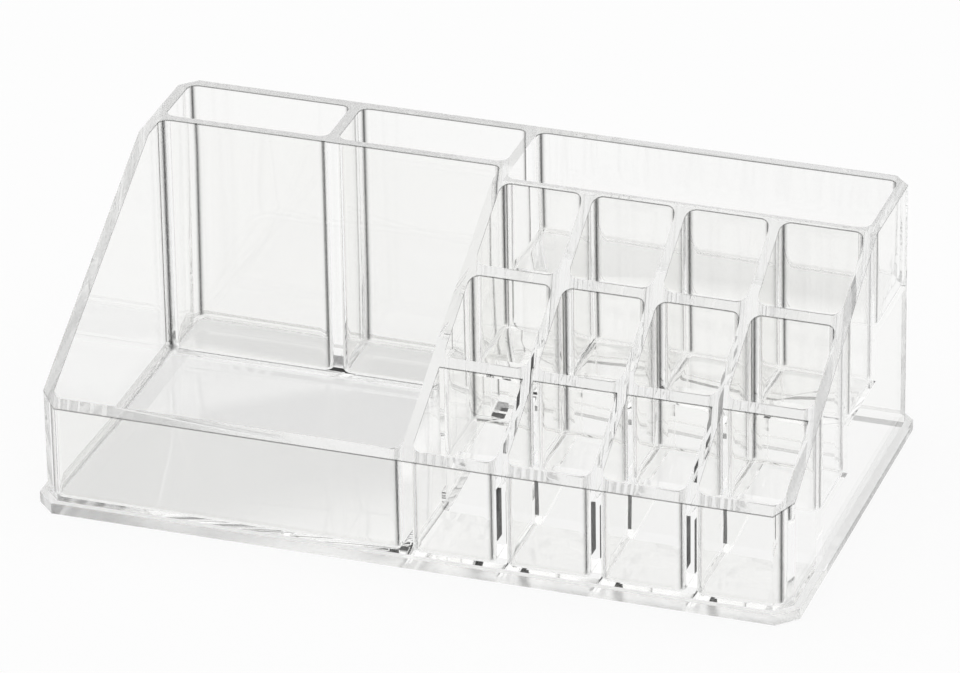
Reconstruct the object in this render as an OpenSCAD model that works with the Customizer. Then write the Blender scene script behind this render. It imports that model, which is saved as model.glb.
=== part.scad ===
// Clear vanity organizer, free standing on a flat base rim.
// At the left an open tray with two tall bins behind it, at the right three rising rows
// of four pockets with one long trough behind them. Every wall, floor and partition is a
// clear panel of its own that meets its neighbours face to face.
// X runs along the width, Y from the front to the back, Z up.
// The origin is the middle of the underside.

/* [Body] */
// Width across the side walls, without the base rim
body_w = 216; // [196:1:260]
// Depth from the front face to the back face, without the base rim
body_d = 118.3; // [110:0.1:140]
// Height of the back, the bins and the trough
body_h = 77.5; // [66:0.5:100]
// Height of the front walls
front_h = 32.3; // [26:0.1:40]
// Thickness of the outer walls
wall_t = 3; // [2.4:0.1:4]
// Cut at 45 degrees on each outer upright corner
corner_cut = 4.7; // [3:0.1:6]
// Radius of the corners inside each compartment
inner_r = 3; // [1:0.1:4]

/* [Base] */
// How far the base rim stands out past the walls
rim_out = 2; // [1:0.1:5]
// Height of the base rim
rim_h = 3.2; // [2:0.1:5]
// Cut at 45 degrees on each corner of the base rim
rim_cut = 5.5; // [3:0.1:6.5]
// Thickness of the tray, bin and front pocket floors
low_floor_t = 3.2; // [2:0.1:5]

/* [Tray and bins] */
// Inside width of the tray
tray_w = 101.9; // [80:0.1:108]
// Inside depth of the two tall bins
bin_d = 20.7; // [16:0.1:24]
// Thickness of the wall between the tray and the bins
bin_wall_t = 2.6; // [2:0.1:4]
// Inside width of the left bin
left_bin_w = 48.9; // [30:0.1:60]
// Thickness of the partition between the bins
bin_divider_t = 3; // [2:0.1:4]

/* [Pockets and trough] */
// Rise from one row's floor to the next
step_h = 14.7; // [10:0.1:17]
// Thickness of the raised pocket floors
shelf_t = 2.2; // [2:0.1:4]
// Thickness of the walls between the rows
row_wall_t = 2.9; // [2:0.1:4]
// Inside depth of the trough
trough_d = 30.25; // [20:0.05:36]
// Thickness of the trough's floor
trough_shelf_t = 2.55; // [2:0.05:4]
// Thickness of the trough's front wall
trough_wall_t = 2.7; // [2:0.1:4]
// Thickness of the centre partition and of the partitions between the columns
partition_t = 2.9; // [2:0.1:4]

/* [Hidden] */

$fn = 48;
// Rows of pockets and pockets in each row, which the node names follow
rows = 3;
columns = 4;
// Share of the inner radius that a corner fillet covers, short of its thin edge
fillet_share = 0.8;
// How far a corner fillet runs into the wall that carries it
fillet_root = 1;
// How far every cut runs past the material that it cuts
overrun = 5;
clear_tint = [0.86, 0.92, 0.94, 0.45];

// Faces of the body
left_x = -body_w / 2;
right_x = body_w / 2;
front_y = -body_d / 2;
back_y = body_d / 2;
// Inner faces of the outer walls
in_left_x = left_x + wall_t;
in_right_x = right_x - wall_t;
in_front_y = front_y + wall_t;
in_back_y = back_y - wall_t;

// Front faces of the wall before the bins and of the wall before the trough
bin_wall_y = in_back_y - bin_d - bin_wall_t;
trough_wall_y = in_back_y - trough_d - trough_wall_t;

// Faces of the centre partition, and the pockets that share what is left of the width
tray_right_x = in_left_x + tray_w;
first_pocket_x = tray_right_x + partition_t;
pocket_w = (in_right_x - first_pocket_x - (columns - 1) * partition_t) / columns;
column_pitch = pocket_w + partition_t;

// The rows share the depth between the front wall and the trough's front wall
pocket_d = (trough_wall_y - in_front_y - (rows - 1) * row_wall_t) / rows;
row_pitch = pocket_d + row_wall_t;

// The sloping top runs from the front edge to the trough's front wall
slope = (body_h - front_h) / (trough_wall_y - front_y);

fillet_h = fillet_share * inner_r;

// Left face and right face of a column, front face and back face of a row, floor of a row and
// the underside of that floor. Only the floors of row 1 reach the bottom.
function column_x0(column) = first_pocket_x + (column - 1) * column_pitch;
function column_x1(column) = column_x0(column) + pocket_w;
function row_y0(row) = in_front_y + (row - 1) * row_pitch;
function row_y1(row) = row_y0(row) + pocket_d;
function row_floor_z(row) = low_floor_t + (row - 1) * step_h;
function row_underside_z(row) = row == 1 ? 0 : row_floor_z(row) - shelf_t;

// Height of the sloping top at a depth
function top_z(y) = min(body_h, front_h + (y - front_y) * slope);

// Inside of each compartment: left, right, front, back and floor
tray = [in_left_x, tray_right_x, in_front_y, bin_wall_y, low_floor_t];
left_bin = [in_left_x, in_left_x + left_bin_w, bin_wall_y + bin_wall_t, in_back_y, low_floor_t];
right_bin = [left_bin[1] + bin_divider_t, tray_right_x, left_bin[2], in_back_y, low_floor_t];
trough = [first_pocket_x, in_right_x, trough_wall_y + trough_wall_t, in_back_y, row_floor_z(rows + 1)];
function pocket(row, column) =
    [column_x0(column), column_x1(column), row_y0(row), row_y1(row), row_floor_z(row)];

// A box between two corners
module block(low, high) {
    translate(low) cube(high - low);
}

// The plan of the body or the rim, with its four corners cut at 45 degrees
module cut_plan(half_w, half_d, cut) {
    polygon([
        [-half_w + cut, -half_d], [half_w - cut, -half_d],
        [half_w, -half_d + cut], [half_w, half_d - cut],
        [half_w - cut, half_d], [-half_w + cut, half_d],
        [-half_w, half_d - cut], [-half_w, -half_d + cut]
    ]);
}

// A side profile, given as Y and Z points, extruded along X
module profile_along_x(x0, x1, points) {
    translate([x0, 0, 0]) rotate([90, 0, 90]) linear_extrude(x1 - x0) polygon(points);
}

// All that lies above the sloping top and above the level top behind it
module above_top() {
    low_y = front_y - overrun;
    high_z = body_h + overrun;
    profile_along_x(left_x - overrun, right_x + overrun, [
        [low_y, front_h - overrun * slope], [trough_wall_y, body_h], [back_y + overrun, body_h],
        [back_y + overrun, high_z], [low_y, high_z]
    ]);
}

// The inside of a compartment, with its upright corners and its floor edges rounded
module cavity(room) {
    x0 = room[0] + inner_r;
    x1 = room[1] - inner_r;
    y0 = room[2] + inner_r;
    y1 = room[3] - inner_r;
    z0 = room[4] + inner_r;
    z1 = body_h + overrun;
    block([x0, room[2], z0], [x1, room[3], z1]);
    block([room[0], y0, z0], [room[1], y1, z1]);
    block([x0, y0, room[4]], [x1, y1, z0]);
    for (x = [x0, x1], y = [y0, y1]) {
        translate([x, y, z0]) cylinder(r = inner_r, h = z1 - z0);
        translate([x, y, z0]) sphere(r = inner_r);
    }
    for (y = [y0, y1])
        translate([x0, y, z0]) rotate([0, 90, 0]) cylinder(r = inner_r, h = x1 - x0);
    for (x = [x0, x1])
        translate([x, y0, z0]) rotate([-90, 0, 0]) cylinder(r = inner_r, h = y1 - y0);
}

// The floor of a compartment, from its underside up to the fillet round its edge
module floor_panel(room, thickness) {
    color(clear_tint) difference() {
        block([room[0], room[2], room[4] - thickness], [room[1], room[3], room[4] + fillet_h]);
        cavity(room);
    }
}

// The fillets at the front or back corners of a compartment, as part of the wall there
module corner_fillets(room, at_back) {
    y0 = at_back ? room[3] - fillet_h : room[2] - fillet_root;
    difference() {
        block([room[0], y0, room[4] + fillet_h], [room[1], y0 + fillet_h + fillet_root, body_h]);
        cavity(room);
    }
}

// A wall that stands across the body, with the fillets of the rooms before and behind it
module cross_wall(x0, x1, y0, y1, z0, rooms_before, rooms_behind) {
    color(clear_tint) difference() {
        union() {
            block([x0, y0, z0], [x1, y1, body_h]);
            for (room = rooms_before) corner_fillets(room, true);
            for (room = rooms_behind) corner_fillets(room, false);
        }
        above_top();
    }
}

// A side wall, from the front face to the back face
module side_wall(x0) {
    color(clear_tint) difference() {
        intersection() {
            translate([0, 0, rim_h]) linear_extrude(body_h - rim_h)
                cut_plan(right_x, back_y, corner_cut);
            block([x0, front_y, rim_h], [x0 + wall_t, back_y, body_h]);
        }
        above_top();
    }
}

// A partition that runs from the front face to a depth, under the sloping top
module partition(x0, end_y) {
    color(clear_tint) profile_along_x(x0, x0 + partition_t, [
        [front_y, rim_h], [in_front_y, rim_h], [in_front_y, 0], [end_y, 0],
        [end_y, top_z(end_y)], [trough_wall_y, body_h], [front_y, front_h]
    ]);
}

// A length of the base rim between two faces, from the outer edge to the inside of the walls
module rim_length(low, high) {
    color(clear_tint) intersection() {
        linear_extrude(rim_h) cut_plan(right_x + rim_out, back_y + rim_out, rim_cut);
        block([low[0], low[1], 0], [high[0], high[1], rim_h]);
    }
}

module base_rim_front() {
    rim_length([left_x - rim_out, front_y - rim_out], [right_x + rim_out, in_front_y]);
}

module base_rim_back() {
    rim_length([left_x - rim_out, in_back_y], [right_x + rim_out, back_y + rim_out]);
}

module base_rim_left() {
    rim_length([left_x - rim_out, in_front_y], [in_left_x, in_back_y]);
}

module base_rim_right() {
    rim_length([in_right_x, in_front_y], [right_x + rim_out, in_back_y]);
}

module left_side_wall() {
    side_wall(left_x);
}

module right_side_wall() {
    side_wall(in_right_x);
}

// Cut by the body's plan, because the outer corner cuts reach past the side walls
module inside_plan() {
    intersection() {
        children();
        linear_extrude(body_h) cut_plan(right_x, back_y, corner_cut);
    }
}

module back_wall() {
    inside_plan()
        cross_wall(in_left_x, in_right_x, in_back_y, back_y, rim_h, [left_bin, right_bin, trough], []);
}

module tray_front_wall() {
    inside_plan() cross_wall(in_left_x, tray_right_x, front_y, in_front_y, rim_h, [], [tray]);
}

module tray_floor() {
    floor_panel(tray, low_floor_t);
}

module bin_front_wall() {
    cross_wall(in_left_x, tray_right_x, bin_wall_y, left_bin[2], 0, [tray], [left_bin, right_bin]);
}

module bin_divider() {
    color(clear_tint) block([left_bin[1], left_bin[2], 0], [right_bin[0], in_back_y, body_h]);
}

module left_bin_floor() {
    floor_panel(left_bin, low_floor_t);
}

module right_bin_floor() {
    floor_panel(right_bin, low_floor_t);
}

module centre_partition() {
    partition(tray_right_x, in_back_y);
}

// Partitions 1 to 3 stand at the right of columns 1 to 3 and end at the trough's front wall
module pocket_partition(number) {
    partition(column_x1(number), trough_wall_y);
}

module trough_front_wall() {
    last_row = [for (column = [1 : columns]) pocket(rows, column)];
    cross_wall(first_pocket_x, in_right_x, trough_wall_y, trough[2], row_underside_z(rows), last_row,
        [trough]);
}

module trough_floor() {
    floor_panel(trough, trough_shelf_t);
}

// The wall before a pocket. Row 1's stand on the base rim and form the front of the body, and
// each of the others starts at the underside of the floor before it.
module pocket_wall(row, column) {
    y1 = row_y0(row);
    if (row == 1)
        inside_plan()
            cross_wall(column_x0(column), column_x1(column), front_y, y1, rim_h, [],
                [pocket(row, column)]);
    else
        cross_wall(column_x0(column), column_x1(column), y1 - row_wall_t, y1,
            row_underside_z(row - 1), [pocket(row - 1, column)], [pocket(row, column)]);
}

module pocket_floor(row, column) {
    floor_panel(pocket(row, column), row == 1 ? low_floor_t : shelf_t);
}

base_rim_front();
base_rim_back();
base_rim_left();
base_rim_right();
left_side_wall();
right_side_wall();
back_wall();
tray_front_wall();
tray_floor();
bin_front_wall();
bin_divider();
left_bin_floor();
right_bin_floor();
centre_partition();
for (number = [1 : columns - 1])
    pocket_partition(number);
trough_front_wall();
trough_floor();
for (row = [1 : rows], column = [1 : columns]) {
    pocket_wall(row, column);
    pocket_floor(row, column);
}
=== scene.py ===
import math

import bpy
from mathutils import Matrix, Vector


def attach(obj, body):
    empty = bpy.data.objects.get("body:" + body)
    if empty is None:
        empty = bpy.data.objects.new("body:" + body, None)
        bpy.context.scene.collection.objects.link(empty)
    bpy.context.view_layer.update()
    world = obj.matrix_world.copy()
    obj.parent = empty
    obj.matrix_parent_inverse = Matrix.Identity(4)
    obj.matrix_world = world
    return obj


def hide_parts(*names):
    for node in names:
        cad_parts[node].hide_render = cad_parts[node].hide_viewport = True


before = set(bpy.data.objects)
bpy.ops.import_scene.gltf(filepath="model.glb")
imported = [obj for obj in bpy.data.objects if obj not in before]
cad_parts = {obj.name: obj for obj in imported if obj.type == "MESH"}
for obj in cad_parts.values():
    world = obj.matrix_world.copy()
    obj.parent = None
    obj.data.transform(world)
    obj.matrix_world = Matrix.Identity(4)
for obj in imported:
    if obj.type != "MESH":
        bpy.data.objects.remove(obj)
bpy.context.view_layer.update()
mm = 0.001
reach = 4  # how far a cutter runs past what it cuts, mm
nearby = 1  # places closer than this count as the same one, mm


def pickOnly(*pieces):
    bpy.ops.object.select_all(action="DESELECT")
    for piece in pieces:
        piece.select_set(True)
    bpy.context.view_layer.objects.active = pieces[0]


def addBlock(name, low, high):
    # a cube between two corners, given in mm
    bpy.ops.object.select_all(action="DESELECT")
    middle = [(low[i] + high[i]) / 2 * mm for i in range(3)]
    bpy.ops.mesh.primitive_cube_add(size=1, location=middle)
    piece = bpy.context.object
    piece.name = name
    piece.scale = [(high[i] - low[i]) * mm for i in range(3)]
    bpy.ops.object.transform_apply(location=True, rotation=True, scale=True)
    return piece


def bevelEdges(piece, wanted, width, segments):
    # wanted looks at an edge's two ends, in mm
    pickOnly(piece)
    bpy.ops.object.mode_set(mode="EDIT")
    bpy.ops.mesh.select_mode(type="EDGE")
    bpy.ops.mesh.select_all(action="DESELECT")
    bpy.ops.object.mode_set(mode="OBJECT")
    points = piece.data.vertices
    for edge in piece.data.edges:
        a = points[edge.vertices[0]].co / mm
        b = points[edge.vertices[1]].co / mm
        edge.select = wanted(a, b)
    bpy.ops.object.mode_set(mode="EDIT")
    bpy.ops.mesh.bevel(offset=width * mm, offset_type="OFFSET", segments=segments, profile=0.5)
    bpy.ops.object.mode_set(mode="OBJECT")


def isUpright(a, b):
    return abs(a.z - b.z) > nearby


def sliceOff(piece, point, normal):
    # what lies on the normal's side of the plane is cut off, and the cut is closed
    pickOnly(piece)
    bpy.ops.object.mode_set(mode="EDIT")
    bpy.ops.mesh.select_all(action="SELECT")
    bpy.ops.mesh.bisect(
        plane_co=[v * mm for v in point], plane_no=normal, use_fill=True, clear_outer=True)
    bpy.ops.object.mode_set(mode="OBJECT")


def combine(piece, tool, operation):
    # the tool is used up
    pickOnly(piece)
    change = piece.modifiers.new("change", "BOOLEAN")
    change.operation = operation
    change.solver = "EXACT"
    change.material_mode = "TRANSFER"
    change.object = tool
    bpy.ops.object.modifier_apply(modifier="change")
    bpy.data.objects.remove(tool)


def copyOf(piece, name):
    twin = piece.copy()
    twin.data = piece.data.copy()
    twin.name = name
    bpy.context.scene.collection.objects.link(twin)
    return twin


body = {
    "left": -108,
    "right": 108,
    "front": -59.15,
    "back": 59.15,
    "height": 77.5,
    "frontHeight": 32.3,
    "wall": 3,
    "cornerCut": 4.7,
    "innerRadius": 3,
    "innerSteps": 8,
    "floorRadius": 1.3,
    "floorSteps": 5,
    "smoothAngle": 32,
}
inLeft = body["left"] + body["wall"]
inRight = body["right"] - body["wall"]
inFront = body["front"] + body["wall"]
inBack = body["back"] - body["wall"]

baseRim = {"out": 2, "height": 3.2, "cornerCut": 5.5}

trayAndBins = {"trayWidth": 101.9, "floor": 3.2, "binDepth": 20.7, "binWall": 2.6,
               "leftBinWidth": 48.9, "divider": 3}
trayRight = inLeft + trayAndBins["trayWidth"]
binWallY = inBack - trayAndBins["binDepth"] - trayAndBins["binWall"]
binFrontY = binWallY + trayAndBins["binWall"]
dividerLeft = inLeft + trayAndBins["leftBinWidth"]
dividerRight = dividerLeft + trayAndBins["divider"]

partitions = {"width": 2.9}
firstPocketX = trayRight + partitions["width"]

pockets = {"rows": 3, "columns": 4, "step": 14.7, "shelf": 2.2, "wall": 2.9}
troughSizes = {"depth": 30.25, "wall": 2.7, "shelf": 2.55}
troughWallY = inBack - troughSizes["depth"] - troughSizes["wall"]
troughFrontY = troughWallY + troughSizes["wall"]
betweenColumns = (pockets["columns"] - 1) * partitions["width"]
betweenRows = (pockets["rows"] - 1) * pockets["wall"]
pocketWidth = (inRight - firstPocketX - betweenColumns) / pockets["columns"]
pocketDepth = (troughWallY - inFront - betweenRows) / pockets["rows"]
rowNumbers = range(1, pockets["rows"] + 1)
columnNumbers = range(1, pockets["columns"] + 1)
slope = (body["height"] - body["frontHeight"]) / (troughWallY - body["front"])


def columnLeft(column):
    return firstPocketX + (column - 1) * (pocketWidth + partitions["width"])


def rowFront(row):
    return inFront + (row - 1) * (pocketDepth + pockets["wall"])


def rowFloor(row):
    return trayAndBins["floor"] + (row - 1) * pockets["step"]


# each room is its left, right, front, back and floor
rooms = {
    "tray": (inLeft, trayRight, inFront, binWallY, trayAndBins["floor"]),
    "leftBin": (inLeft, dividerLeft, binFrontY, inBack, trayAndBins["floor"]),
    "rightBin": (dividerRight, trayRight, binFrontY, inBack, trayAndBins["floor"]),
    "trough": (firstPocketX, inRight, troughFrontY, inBack, rowFloor(pockets["rows"] + 1)),
}
for row in rowNumbers:
    for column in columnNumbers:
        x0 = columnLeft(column)
        y0 = rowFront(row)
        rooms[f"r{row}_c{column}"] = (x0, x0 + pocketWidth, y0, y0 + pocketDepth, rowFloor(row))


def plasticTone():
    # faint moulding variation: a tone for the colour, a mask for the polish, a height for ripples
    group = bpy.data.node_groups.new("plasticTone", "ShaderNodeTree")
    face = group.interface
    face.new_socket("Patch Size", in_out="INPUT", socket_type="NodeSocketFloat")
    face.new_socket("Ripple Size", in_out="INPUT", socket_type="NodeSocketFloat")
    face.new_socket("Patches", in_out="OUTPUT", socket_type="NodeSocketFloat")
    face.new_socket("Ripples", in_out="OUTPUT", socket_type="NodeSocketFloat")
    nodes = group.nodes
    links = group.links
    start = nodes.new("NodeGroupInput")
    end = nodes.new("NodeGroupOutput")
    place = nodes.new("ShaderNodeTexCoord")
    for size, out in (("Patch Size", "Patches"), ("Ripple Size", "Ripples")):
        noise = nodes.new("ShaderNodeTexNoise")
        noise.inputs["Detail"].default_value = 2
        links.new(place.outputs["Object"], noise.inputs["Vector"])
        links.new(start.outputs[size], noise.inputs["Scale"])
        links.new(noise.outputs["Fac"], end.inputs[out])
    return group


def sumNode(tree, operation, *values):
    # one sum inside a node group, where each value is a number or another node's output
    node = tree.nodes.new("ShaderNodeMath")
    node.operation = operation
    for number, value in enumerate(values):
        if isinstance(value, (int, float)):
            node.inputs[number].default_value = value
        else:
            tree.links.new(value, node.inputs[number])
    return node.outputs[0]


def satinBase():
    # 1 on the border of the underside that stands on the table, 0 elsewhere
    group = bpy.data.node_groups.new("satinBase", "ShaderNodeTree")
    face = group.interface
    for name in ("Lowest", "From X", "From Y"):
        face.new_socket(name, in_out="INPUT", socket_type="NodeSocketFloat")
    face.new_socket("Mask", in_out="OUTPUT", socket_type="NodeSocketFloat")
    nodes = group.nodes
    links = group.links
    start = nodes.new("NodeGroupInput")
    end = nodes.new("NodeGroupOutput")
    place = nodes.new("ShaderNodeTexCoord")
    split = nodes.new("ShaderNodeSeparateXYZ")
    links.new(place.outputs["Object"], split.inputs[0])

    def step(operation, *values):
        return sumNode(group, operation, *values)

    atSide = step("GREATER_THAN", step("ABSOLUTE", split.outputs["X"]), start.outputs["From X"])
    atEnd = step("GREATER_THAN", step("ABSOLUTE", split.outputs["Y"]), start.outputs["From Y"])
    below = step("LESS_THAN", split.outputs["Z"], start.outputs["Lowest"])
    links.new(step("MULTIPLY", step("MAXIMUM", atSide, atEnd), below), end.inputs["Mask"])
    return group


# the painted dark line below each edge of the wall tops, and the painted shade on the tops
paintedTopShade = {"lineWidth": 0.4, "line": 0.88, "top": 0.12, "facesUp": 0.5}


def paintedShadeLines():
    # painted shade: a rounded corner in clear plastic bends light away, which leaves a dark line along its
    # middle, and that line is painted into the colour here
    group = bpy.data.node_groups.new("paintedShadeLines", "ShaderNodeTree")
    face = group.interface
    for name in ("Upright", "Level", "Narrow"):
        face.new_socket(name, in_out="INPUT", socket_type="NodeSocketFloat")
    face.new_socket("Line", in_out="OUTPUT", socket_type="NodeSocketFloat")
    nodes = group.nodes
    links = group.links
    start = nodes.new("NodeGroupInput")
    end = nodes.new("NodeGroupOutput")
    surface = nodes.new("ShaderNodeNewGeometry")
    split = nodes.new("ShaderNodeSeparateXYZ")
    links.new(surface.outputs["Normal"], split.inputs[0])

    def step(operation, *values):
        return sumNode(group, operation, *values)

    def ridge(first, second, strength):
        # 1 where the face looks halfway between the two directions, 0 where it looks along one
        both = step("ABSOLUTE", step("MULTIPLY", split.outputs[first], split.outputs[second]))
        narrow = step("POWER", step("MULTIPLY", both, 2), start.outputs["Narrow"])
        return step("MULTIPLY", narrow, strength)

    # the flat corner cuts of the body and the rim have that direction too, so they are left out
    place = nodes.new("ShaderNodeTexCoord")
    spot = nodes.new("ShaderNodeSeparateXYZ")
    links.new(place.outputs["Object"], spot.inputs[0])
    out = step("ADD", step("ABSOLUTE", spot.outputs["X"]), step("ABSOLUTE", spot.outputs["Y"]))
    inside = step("LESS_THAN", out, clearLook["lineReach"])
    upright = step("MULTIPLY", ridge("X", "Y", start.outputs["Upright"]), inside)
    across = step("MAXIMUM", ridge("X", "Z", start.outputs["Level"]), ridge("Y", "Z", start.outputs["Level"]))

    # the wall tops lie in a slope from the front and in a level part behind it
    atMiddle = (body["frontHeight"] - body["front"] * slope) * mm
    sloping = step("MULTIPLY_ADD", spot.outputs["Y"], slope, atMiddle)
    below = step("SUBTRACT", step("MINIMUM", sloping, body["height"] * mm), spot.outputs["Z"])
    # painted shade: a dark line just below the wall tops, and a weaker painted shade on the top faces
    # themselves
    isNear = step("LESS_THAN", below, paintedTopShade["lineWidth"] * mm)
    isTop = step("GREATER_THAN", step("ABSOLUTE", split.outputs["Z"]), paintedTopShade["facesUp"])
    shade = step("MULTIPLY_ADD", isTop, paintedTopShade["top"] - paintedTopShade["line"], paintedTopShade["line"])
    edge = step("MULTIPLY", isNear, shade)
    links.new(step("MAXIMUM", step("MAXIMUM", upright, across), edge), end.inputs["Line"])
    return group


clearLook = {
    "index": 1.49,
    "paleTone": (0.980, 0.980, 0.974),
    "deepTone": (0.961, 0.961, 0.953),
    "patchSize": 14,
    "rippleSize": 90,
    "polishFrom": 0.55,
    "polishTo": 0.8,
    "smoothest": 0.0,
    "roughest": 0.012,
    # colour of the painted shade lines in the corners and along the wall tops
    "paintedShadeTone": (0.001, 0.001, 0.001),
    "uprightLine": 0.995,
    "floorLine": 0.25,
    "lineNarrow": 7,
    "lineReach": 0.161,
    "baseReach": 0.00005,
    "baseRoughness": 0.2,
    "satinFromX": 0.0995,
    "satinFromY": 0.0508,
}


def clearPlastic(name, tone, base):
    material = bpy.data.materials.new(name)
    material.use_nodes = True
    nodes = material.node_tree.nodes
    links = material.node_tree.links
    shader = nodes["Principled BSDF"]
    shader.inputs["Transmission Weight"].default_value = 1
    shader.inputs["Metallic"].default_value = 0
    shader.inputs["IOR"].default_value = clearLook["index"]
    surface = nodes.new("ShaderNodeGroup")
    surface.node_tree = tone
    surface.inputs["Patch Size"].default_value = clearLook["patchSize"]
    surface.inputs["Ripple Size"].default_value = clearLook["rippleSize"]
    colour = nodes.new("ShaderNodeMix")
    colour.data_type = "RGBA"
    colour.inputs[6].default_value = (*clearLook["deepTone"], 1)
    colour.inputs[7].default_value = (*clearLook["paleTone"], 1)
    links.new(surface.outputs["Patches"], colour.inputs[0])
    lines = nodes.new("ShaderNodeGroup")
    lines.node_tree = paintedShadeLines()
    lines.inputs["Upright"].default_value = clearLook["uprightLine"]
    lines.inputs["Level"].default_value = clearLook["floorLine"]
    lines.inputs["Narrow"].default_value = clearLook["lineNarrow"]
    # the painted shade lines darken the plastic's colour towards a near-black tone
    colourWithPaintedShade = nodes.new("ShaderNodeMix")
    colourWithPaintedShade.data_type = "RGBA"
    colourWithPaintedShade.inputs[7].default_value = (*clearLook["paintedShadeTone"], 1)
    links.new(lines.outputs["Line"], colourWithPaintedShade.inputs[0])
    links.new(colour.outputs[2], colourWithPaintedShade.inputs[6])
    links.new(colourWithPaintedShade.outputs[2], shader.inputs["Base Color"])
    polish = nodes.new("ShaderNodeMapRange")
    polish.inputs["From Min"].default_value = clearLook["polishFrom"]
    polish.inputs["From Max"].default_value = clearLook["polishTo"]
    polish.inputs["To Min"].default_value = clearLook["smoothest"]
    polish.inputs["To Max"].default_value = clearLook["roughest"]
    links.new(surface.outputs["Patches"], polish.inputs["Value"])
    if base is None:
        links.new(polish.outputs["Result"], shader.inputs["Roughness"])
        return material
    under = nodes.new("ShaderNodeGroup")
    under.node_tree = base
    under.inputs["Lowest"].default_value = clearLook["baseReach"]
    under.inputs["From X"].default_value = clearLook["satinFromX"]
    under.inputs["From Y"].default_value = clearLook["satinFromY"]
    satin = nodes.new("ShaderNodeMix")
    satin.inputs[3].default_value = clearLook["baseRoughness"]
    links.new(under.outputs["Mask"], satin.inputs[0])
    links.new(polish.outputs["Result"], satin.inputs[2])
    links.new(satin.outputs[0], shader.inputs["Roughness"])
    return material


jointLook = {"patchSize": 40, "deepTone": (0.96, 0.97, 0.97), "paleTone": (0.99, 0.99, 0.99)}


def bondedJoint():
    # a bonded joint in clear plastic doesn't show, so light goes straight across
    material = bpy.data.materials.new("bondedJoint")
    material.use_nodes = True
    nodes = material.node_tree.nodes
    links = material.node_tree.links
    shader = nodes["Principled BSDF"]
    shader.inputs["Alpha"].default_value = 0
    shader.inputs["Roughness"].default_value = 0
    place = nodes.new("ShaderNodeTexCoord")
    noise = nodes.new("ShaderNodeTexNoise")
    noise.inputs["Scale"].default_value = jointLook["patchSize"]
    colour = nodes.new("ShaderNodeMix")
    colour.data_type = "RGBA"
    colour.inputs[6].default_value = (*jointLook["deepTone"], 1)
    colour.inputs[7].default_value = (*jointLook["paleTone"], 1)
    links.new(place.outputs["Object"], noise.inputs["Vector"])
    links.new(noise.outputs["Fac"], colour.inputs[0])
    links.new(colour.outputs[2], shader.inputs["Base Color"])
    return material


tone = plasticTone()
plastic = clearPlastic("clearPlastic", tone, None)
satinPlastic = clearPlastic("clearPlasticSatinBase", tone, satinBase())
joint = bondedJoint()
print("materials ready")


def wholeBody():
    top = body["height"]
    whole = addBlock("wholeBody", (body["left"], body["front"], 0), (body["right"], body["back"], top))
    bevelEdges(whole, isUpright, body["cornerCut"], 1)
    sliceOff(whole, (0, troughWallY, top), (0, -slope, 1))
    out = baseRim["out"]
    rim = addBlock(
        "rim", (body["left"] - out, body["front"] - out, 0),
        (body["right"] + out, body["back"] + out, baseRim["height"]))
    bevelEdges(rim, isUpright, baseRim["cornerCut"], 1)
    combine(whole, rim, "UNION")
    for x0, x1, y0, y1, floor in rooms.values():
        room = addBlock("room", (x0, y0, floor), (x1, y1, top + reach))
        firstRow = x0 > trayRight and y0 < inFront + nearby

        def isSharp(a, b):
            return firstRow and min(a.y, b.y) > y1 - nearby

        bevelEdges(
            room, lambda a, b: isUpright(a, b) and not isSharp(a, b),
            body["innerRadius"], body["innerSteps"])
        bevelEdges(
            room, lambda a, b: max(a.z, b.z) < floor + nearby and not isSharp(a, b),
            body["floorRadius"], body["floorSteps"])
        combine(whole, room, "DIFFERENCE")
        if floor > trayAndBins["floor"] + nearby:
            # open below, except for the partitions and the wall behind row 1
            thickness = troughSizes["shelf"] if y1 > inBack - nearby else pockets["shelf"]
            under = addBlock("under", (x0, y0, -reach), (x1, y1, floor - thickness))
            if y0 < rowFront(2) + nearby:
                bevelEdges(
                    under, lambda a, b: isUpright(a, b) and a.y < y1 - nearby,
                    body["innerRadius"], body["innerSteps"])
            combine(whole, under, "DIFFERENCE")
            if y0 > rowFront(2) + nearby:
                last = floor - pockets["step"] - pockets["shelf"]
                passage = addBlock("passage", (x0, y0 - reach, -reach), (x1, y0 + reach, last))
                combine(whole, passage, "DIFFERENCE")
    print("compartments cut")
    whole.data.materials.clear()
    whole.data.materials.append(plastic)
    return whole


def floorRegion(room, thickness):
    x0, x1, y0, y1, floor = room
    return [((x0, y0, floor - thickness), (x1, y1, floor + body["innerRadius"]))]


def wallRegion(low, high, before, behind):
    # the wall and the rounded corners of the rooms before and behind it
    top = body["height"] + reach
    boxes = [(low, (high[0], high[1], top))]
    radius = body["innerRadius"]
    middle = (low[1] + high[1]) / 2
    for x0, x1, y0, y1, floor in before:
        boxes.append(((x0, y1 - radius, floor + radius), (x1, middle, top)))
    for x0, x1, y0, y1, floor in behind:
        boxes.append(((x0, middle, floor + radius), (x1, y0 + radius, top)))
    return boxes


def partitionRegion(x0, end):
    x1 = x0 + partitions["width"]
    top = body["height"] + reach
    return [
        ((x0, body["front"] - reach, baseRim["height"]), (x1, inFront, top)),
        ((x0, inFront, -reach), (x1, end, top)),
    ]


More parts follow.
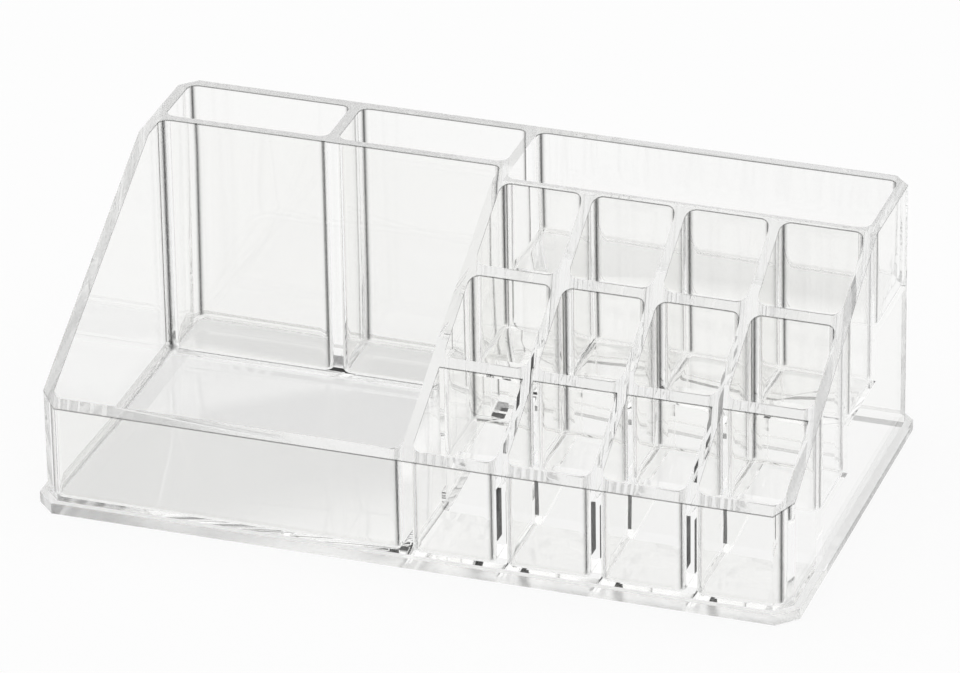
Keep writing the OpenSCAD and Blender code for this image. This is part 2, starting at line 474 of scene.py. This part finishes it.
def allRegions():
    out = baseRim["out"] + reach
    rim = baseRim["height"]
    top = body["height"] + reach
    left = body["left"]
    right = body["right"]
    front = body["front"]
    back = body["back"]
    lowFloor = trayAndBins["floor"]
    regions = {
        "base_rim_front": [((left - out, front - out, -reach), (right + out, inFront, rim))],
        "base_rim_back": [((left - out, inBack, -reach), (right + out, back + out, rim))],
        "base_rim_left": [((left - out, inFront, -reach), (inLeft, inBack, rim))],
        "base_rim_right": [((inRight, inFront, -reach), (right + out, inBack, rim))],
        "left_side_wall": [((left - reach, front - reach, rim), (inLeft, back + reach, top))],
        "right_side_wall": [((inRight, front - reach, rim), (right + reach, back + reach, top))],
        "back_wall": wallRegion(
            (inLeft, inBack, rim), (inRight, back + reach, top),
            [rooms["leftBin"], rooms["rightBin"], rooms["trough"]], []),
        "tray_front_wall": wallRegion(
            (inLeft, front - reach, rim), (trayRight, inFront, top), [], [rooms["tray"]]),
        "tray_floor": floorRegion(rooms["tray"], lowFloor),
        "bin_front_wall": wallRegion(
            (inLeft, binWallY, -reach), (trayRight, binFrontY, top),
            [rooms["tray"]], [rooms["leftBin"], rooms["rightBin"]]),
        "bin_divider": [((dividerLeft, binFrontY, -reach), (dividerRight, inBack, top))],
        "left_bin_floor": floorRegion(rooms["leftBin"], lowFloor),
        "right_bin_floor": floorRegion(rooms["rightBin"], lowFloor),
        "centre_partition": partitionRegion(trayRight, inBack),
        "trough_front_wall": wallRegion(
            (firstPocketX, troughWallY, -reach), (inRight, troughFrontY, top),
            [rooms[f"r{pockets['rows']}_c{column}"] for column in columnNumbers], [rooms["trough"]]),
        "trough_floor": floorRegion(rooms["trough"], troughSizes["shelf"]),
    }
    for number in columnNumbers[:-1]:
        x0 = columnLeft(number) + pocketWidth
        regions[f"pocket_partition_{number}"] = partitionRegion(x0, troughWallY)
    for row in rowNumbers:
        for column in columnNumbers:
            room = rooms[f"r{row}_c{column}"]
            x0, x1, y0, y1, floor = room
            thickness = lowFloor if row == 1 else pockets["shelf"]
            regions[f"pocket_floor_r{row}_c{column}"] = floorRegion(room, thickness)
            if row == 1:
                low = (x0, front - reach, rim)
                before = []
            else:
                low = (x0, y0 - pockets["wall"], -reach)
                before = [rooms[f"r{row - 1}_c{column}"]]
            regions[f"pocket_wall_r{row}_c{column}"] = wallRegion(
                low, (x1, y0, top), before, [room])
    return regions


def regionSolid(boxes):
    solid = addBlock("region", *boxes[0])
    for low, high in boxes[1:]:
        combine(solid, addBlock("part", low, high), "UNION")
    solid.data.materials.clear()
    solid.data.materials.append(joint)
    return solid


def cutPieces(whole):
    for name, boxes in allRegions().items():
        piece = copyOf(whole, name + ".visual")
        if "partition" not in name:
            piece.data.materials[0] = satinPlastic
        combine(piece, regionSolid(boxes), "INTERSECT")
        pickOnly(piece)
        bpy.ops.object.shade_smooth_by_angle(angle=math.radians(body["smoothAngle"]))
        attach(piece, "root")
        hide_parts(name)
    bpy.data.objects.remove(whole)
    print("pieces cut")


cutPieces(wholeBody())


studio = {
    "floorHalf": 1.6,
    "floorDrop": 0.05,
    "floorColour": (0.93, 0.93, 0.93),
    "floorRoughness": 0.9,
    "floorGlow": 0.9,
    "skyLight": 1.12,
    "bandTone": 0.02,
    "bandStarts": (0.35, 0.40),
    "bandEnds": (0.56, 0.61),
    "bounces": 96,
}


def addFloor():
    bpy.ops.object.select_all(action="DESELECT")
    bpy.ops.mesh.primitive_plane_add(size=2 * studio["floorHalf"])
    floor = bpy.context.object
    floor.name = "studioFloor"
    pickOnly(floor)
    floor.location.z = -studio["floorDrop"] * mm
    bpy.ops.object.transform_apply(location=True, rotation=True, scale=True)
    material = bpy.data.materials.new("paleFloor")
    material.use_nodes = True
    nodes = material.node_tree.nodes
    links = material.node_tree.links
    shader = nodes["Principled BSDF"]
    shader.inputs["Base Color"].default_value = (*studio["floorColour"], 1)
    shader.inputs["Roughness"].default_value = studio["floorRoughness"]
    shader.inputs["Specular IOR Level"].default_value = 0
    path = nodes.new("ShaderNodeLightPath")
    glow = nodes.new("ShaderNodeEmission")
    first = nodes.new("ShaderNodeMath")
    first.operation = "MAXIMUM"
    second = nodes.new("ShaderNodeMath")
    second.operation = "MAXIMUM"
    share = nodes.new("ShaderNodeMath")
    share.operation = "MULTIPLY"
    share.inputs[1].default_value = studio["floorGlow"]
    mix = nodes.new("ShaderNodeMixShader")
    links.new(path.outputs["Is Camera Ray"], first.inputs[0])
    links.new(path.outputs["Is Glossy Ray"], first.inputs[1])
    links.new(first.outputs[0], second.inputs[0])
    links.new(path.outputs["Is Transmission Ray"], second.inputs[1])
    links.new(second.outputs[0], share.inputs[0])
    links.new(share.outputs[0], mix.inputs[0])
    links.new(shader.outputs[0], mix.inputs[1])
    links.new(glow.outputs[0], mix.inputs[2])
    links.new(mix.outputs[0], nodes["Material Output"].inputs[0])
    floor.data.materials.append(material)


def addSky():
    # white overhead and near the horizon, with the dark band that gives clear edges their lines
    world = bpy.data.worlds.new("studioSky")
    bpy.context.scene.world = world
    world.use_nodes = True
    nodes = world.node_tree.nodes
    links = world.node_tree.links
    light = nodes["Background"]
    light.inputs["Strength"].default_value = studio["skyLight"]
    place = nodes.new("ShaderNodeTexCoord")
    split = nodes.new("ShaderNodeSeparateXYZ")
    ramp = nodes.new("ShaderNodeValToRGB")
    links.new(place.outputs["Generated"], split.inputs[0])
    links.new(split.outputs["Z"], ramp.inputs[0])
    stops = ramp.color_ramp.elements
    stops[0].position, stops[1].position = studio["bandStarts"]
    for position in studio["bandEnds"]:
        stops.new(position)
    for stop, value in zip(stops, (1, studio["bandTone"], studio["bandTone"], 1)):
        stop.color = (value, value, value, 1)
    links.new(ramp.outputs["Color"], light.inputs["Color"])
    path = nodes.new("ShaderNodeLightPath")
    plain = nodes.new("ShaderNodeBackground")
    plain.inputs["Color"].default_value = (1, 1, 1, 1)
    mix = nodes.new("ShaderNodeMixShader")
    links.new(path.outputs["Is Camera Ray"], mix.inputs[0])
    links.new(light.outputs[0], mix.inputs[1])
    links.new(plain.outputs[0], mix.inputs[2])
    links.new(mix.outputs[0], nodes["World Output"].inputs["Surface"])


photoView = {
    "azimuth": -0.33438,
    "elevation": 0.48626,
    "roll": -0.016696,
    "distance": 2.0777,
    "focal": 7486.69,
    "shiftX": 0.000635,
    "shiftY": 0.004941,
    "targetZ": 0.03516,
    "imageWidth": 960,
    "sensorWidth": 36,
    "farthest": 50,
}


def addCamera():
    turn = photoView["azimuth"]
    down = photoView["elevation"]
    ahead = Vector((math.sin(turn) * math.cos(down), math.cos(turn) * math.cos(down), -math.sin(down)))
    side = ahead.cross(Vector((0, 0, 1))).normalized()
    above = side.cross(ahead)
    roll = photoView["roll"]
    right = side * math.cos(roll) + above * math.sin(roll)
    up = -side * math.sin(roll) + above * math.cos(roll)
    aside = right * photoView["shiftX"] + up * photoView["shiftY"]
    target = Vector((0, 0, photoView["targetZ"])) + aside
    camera = bpy.data.cameras.new("photoCamera")
    holder = bpy.data.objects.new("photoCamera", camera)
    bpy.context.scene.collection.objects.link(holder)
    spin = Matrix((right, up, -ahead)).transposed().to_4x4()
    holder.matrix_world = Matrix.Translation(target - ahead * photoView["distance"]) @ spin
    camera.sensor_fit = "HORIZONTAL"
    camera.sensor_width = photoView["sensorWidth"]
    camera.lens = photoView["focal"] / photoView["imageWidth"] * photoView["sensorWidth"]
    camera.clip_end = photoView["farthest"]
    bpy.context.scene.camera = holder


addFloor()
addSky()
addCamera()
scene = bpy.context.scene
scene.view_settings.view_transform = "Standard"
for limit in ("max_bounces", "transmission_bounces", "glossy_bounces", "transparent_max_bounces"):
    setattr(scene.cycles, limit, studio["bounces"])  # light takes many turns inside clear walls
print("studio ready")
